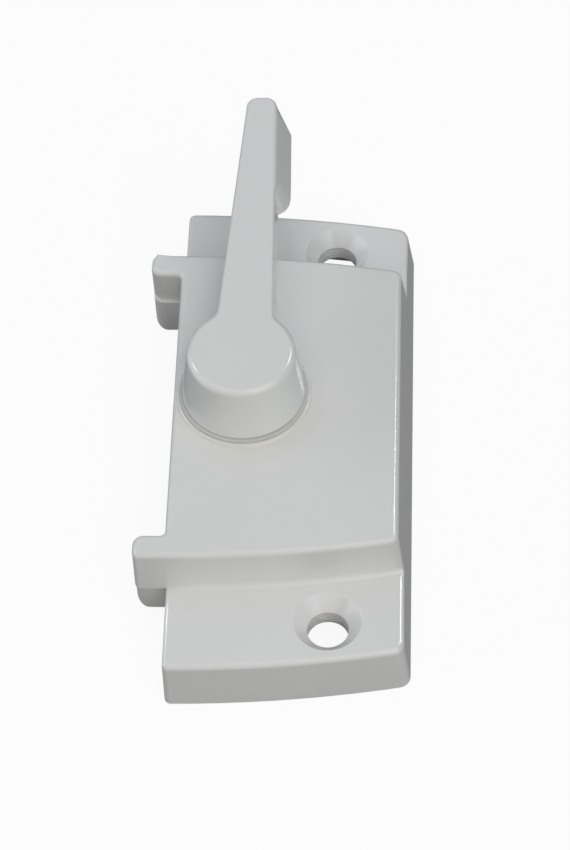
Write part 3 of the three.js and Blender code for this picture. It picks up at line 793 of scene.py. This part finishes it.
def acetal():
    """Pale plastic with faint clouds."""
    f = Finish("acetal")
    cloud = f.noise(f.place(), scale=0.8)
    tone = f.blend(cloud, rgb(0.63, 0.622, 0.59), rgb(0.66, 0.652, 0.625))
    return f.output(f.node("BsdfPrincipled", Base_Color=tone, Roughness=0.4 + 0.1 * cloud))


def plated_steel():
    """Bright zinc plate with a fine grain."""
    f = Finish("zinc_plate")
    where = f.place()
    grain = f.noise(where, scale=6.0, detail=3.0)
    cloud = f.noise(where, scale=0.5)
    tone = f.blend(cloud, rgb(0.50, 0.51, 0.53), rgb(0.66, 0.67, 0.69))
    rough = 0.24 + 0.18 * cloud
    bump = f.node("Bump", Strength=0.1, Distance=0.02 * MM, Height=grain)
    return f.output(f.node("BsdfPrincipled", Base_Color=tone, Metallic=1.0, Roughness=rough, Normal=bump))


def spring_steel():
    """Tempered strip with a rolled grain along it."""
    f = Finish("spring_steel")
    stretch = (8.0, 0.5, 8.0)
    along = f.node("VectorMath", {"operation": "MULTIPLY"}, i0=f.place(), i1=stretch)
    grain = f.noise(along, scale=1.0, detail=3.0)
    tone = f.blend(grain, rgb(0.30, 0.31, 0.33), rgb(0.46, 0.47, 0.50))
    return f.output(f.node("BsdfPrincipled", Base_Color=tone, Metallic=1.0, Roughness=0.25 + 0.15 * grain))


def floor_finish():
    """A pale floor that stays white to the camera and keeps a soft shadow."""
    f = Finish("floor")
    seen = f.node("LightPath", out="Is Camera Ray") + f.node("LightPath", out="Is Transmission Ray")
    seen = seen + 0.15 * f.node("LightPath", out="Is Glossy Ray")
    glow = f.node("Emission", Color=rgb(1, 1, 1), Strength=1.0)
    pale = f.node("BsdfDiffuse", Color=rgb(0.97, 0.97, 0.97))
    dark = f.node("BsdfDiffuse", Color=rgb(0.15, 0.15, 0.15))
    bright = f.node("MixShader", i0=0.92, i1=pale, i2=glow)
    return f.output(f.node("MixShader", i0=seen, i1=dark, i2=bright))


# Pieces

white = paint("white_paint")
settle(model_case(), "case_casting", "lock_body", "lock_body", white, CASE_PLACE)
settle(model_lever(), "lever_casting", "lever", "lever", white, CASE_PLACE)
zinc = plated_steel()
strip = spring_steel()

# Node, name, body, slot and finish of each small piece, and the radius and steps of its broken edges
SMALL_PIECES = (
    ("pivot_bush", "bush", "lock_body", "acetal", acetal(), 0.1, 2),
    ("sweep_cam", "cam", "lever", "zinc_plated_steel", zinc, 0.2, 3),
    ("wave_washer", "waved_ring", "lever", "spring_steel", strip, 0.08, 2),
    ("detent_spring", "leaf", "lock_body", "spring_steel", strip, 0.1, 2),
    ("retaining_washer", "flat_ring", "lever", "zinc_plated_steel", zinc, 0.12, 2),
    ("retaining_screw", "pan_screw", "lever", "zinc_plated_steel", zinc, 0.1, 2),
)
for node, name, body, slot, finish, radius, steps in SMALL_PIECES:
    settle(soft_copy(node, radius, steps), name, body, node, finish)


# Studio, in metres

deselect()
bpy.ops.mesh.primitive_grid_add(x_subdivisions=4, y_subdivisions=4, size=6, location=(0, 0, 0))
floor = bpy.context.object
floor.name = "floor"
floor.data.materials.append(floor_finish())

scene = bpy.context.scene
scene.view_settings.view_transform = "Standard"
world = bpy.data.worlds.new("studio")
scene.world = world
world.use_nodes = True
sky = world.node_tree.nodes["Background"].inputs
sky["Color"].default_value = rgb(0.85, 0.93, 1.0)
sky["Strength"].default_value = 0.02


def softbox(name, place, size, power, tone, glint=False):
    """A lamp aimed at the part, or one that only glints in the gloss."""
    lamp = bpy.data.lights.new(name, "AREA")
    lamp.shape = "RECTANGLE"
    lamp.size, lamp.size_y = size
    lamp.energy = power
    lamp.color = tone
    holder = bpy.data.objects.new(name, lamp)
    scene.collection.objects.link(holder)
    holder.location = place
    holder.rotation_euler = (-Vector(place)).to_track_quat("-Z", "Y").to_euler()
    holder.visible_diffuse = not glint


softbox("top", (-0.1, 0.0, 1.2), (1.2, 1.2), 4.0, (1.0, 0.94, 0.95))
softbox("right_front", (0.5, -0.5, 0.9), (0.8, 0.8), 3.9, (1.0, 1.0, 0.99))
softbox("front", (0.1, -0.96, 0.52), (1.6, 0.9), 3.2, (1.0, 0.9, 0.77))
softbox("low_right", (0.8, -0.7, 0.35), (0.8, 0.7), 1.8, (0.7, 0.9, 1.0))
softbox("right_back", (0.4, 0.53, 0.745), (0.14, 0.22), 1.7, (0.9, 0.97, 1.0), glint=True)
softbox("left_back", (-0.54, 0.39, 0.75), (0.16, 0.16), 1.4, (1.0, 0.98, 0.97), glint=True)
softbox("back", (0.0, 0.9, 0.9), (1.8, 0.8), 2.8, (0.8, 0.94, 1.0))
softbox("left", (-1.1, 0.1, 0.35), (1.4, 0.6), 5.4, (0.82, 0.94, 1.0))

view = bpy.data.cameras.new("camera")
view.sensor_fit = "AUTO"
view.sensor_width = 36
view.lens = 137.2
eye = bpy.data.objects.new("camera", view)
scene.collection.objects.link(eye)
eye.location = (0.018834, -0.24518, 0.328566)
eye.rotation_euler = [math.radians(a) for a in (37.0152, 1.911, 1.7237)]
scene.camera = eye
